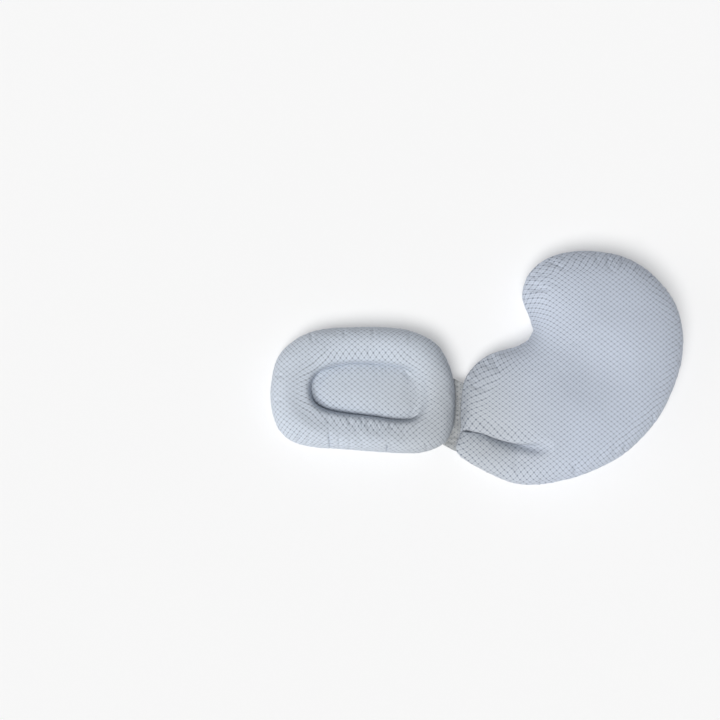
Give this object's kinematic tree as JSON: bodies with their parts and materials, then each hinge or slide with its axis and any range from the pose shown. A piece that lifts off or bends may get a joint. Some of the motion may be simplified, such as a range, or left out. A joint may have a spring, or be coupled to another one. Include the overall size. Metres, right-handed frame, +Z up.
{
  "type": "pregnancy pillow",
  "caption": "Flat-lying support pillow: a broad bean-shaped head cushion and a small ring-shaped belly cushion with a sunken middle, joined by a narrow cloth band.",
  "frame": {"origin": "on the surface that the pillow lies on, under the middle of its bounding box", "axes": "+X from the belly cushion to the head cushion, +Y across the pillow towards the open side where the body lies, +Z up"},
  "size_m": [0.9846, 0.555, 0.1406],
  "materials": {
    "head_cloth": "printed cotton, pale blue-grey lattice of fine dots on an off-white ground",
    "belly_cloth": "printed cotton, pale blue-grey lattice of fine dots on an off-white ground",
    "band_cloth": "the same printed cotton, doubled and flat"
  },
  "bodies": {
    "root": {"head_cushion": "head_cloth", "belly_cushion": "belly_cloth", "joining_band": "band_cloth"}
  },
  "joints": []
}
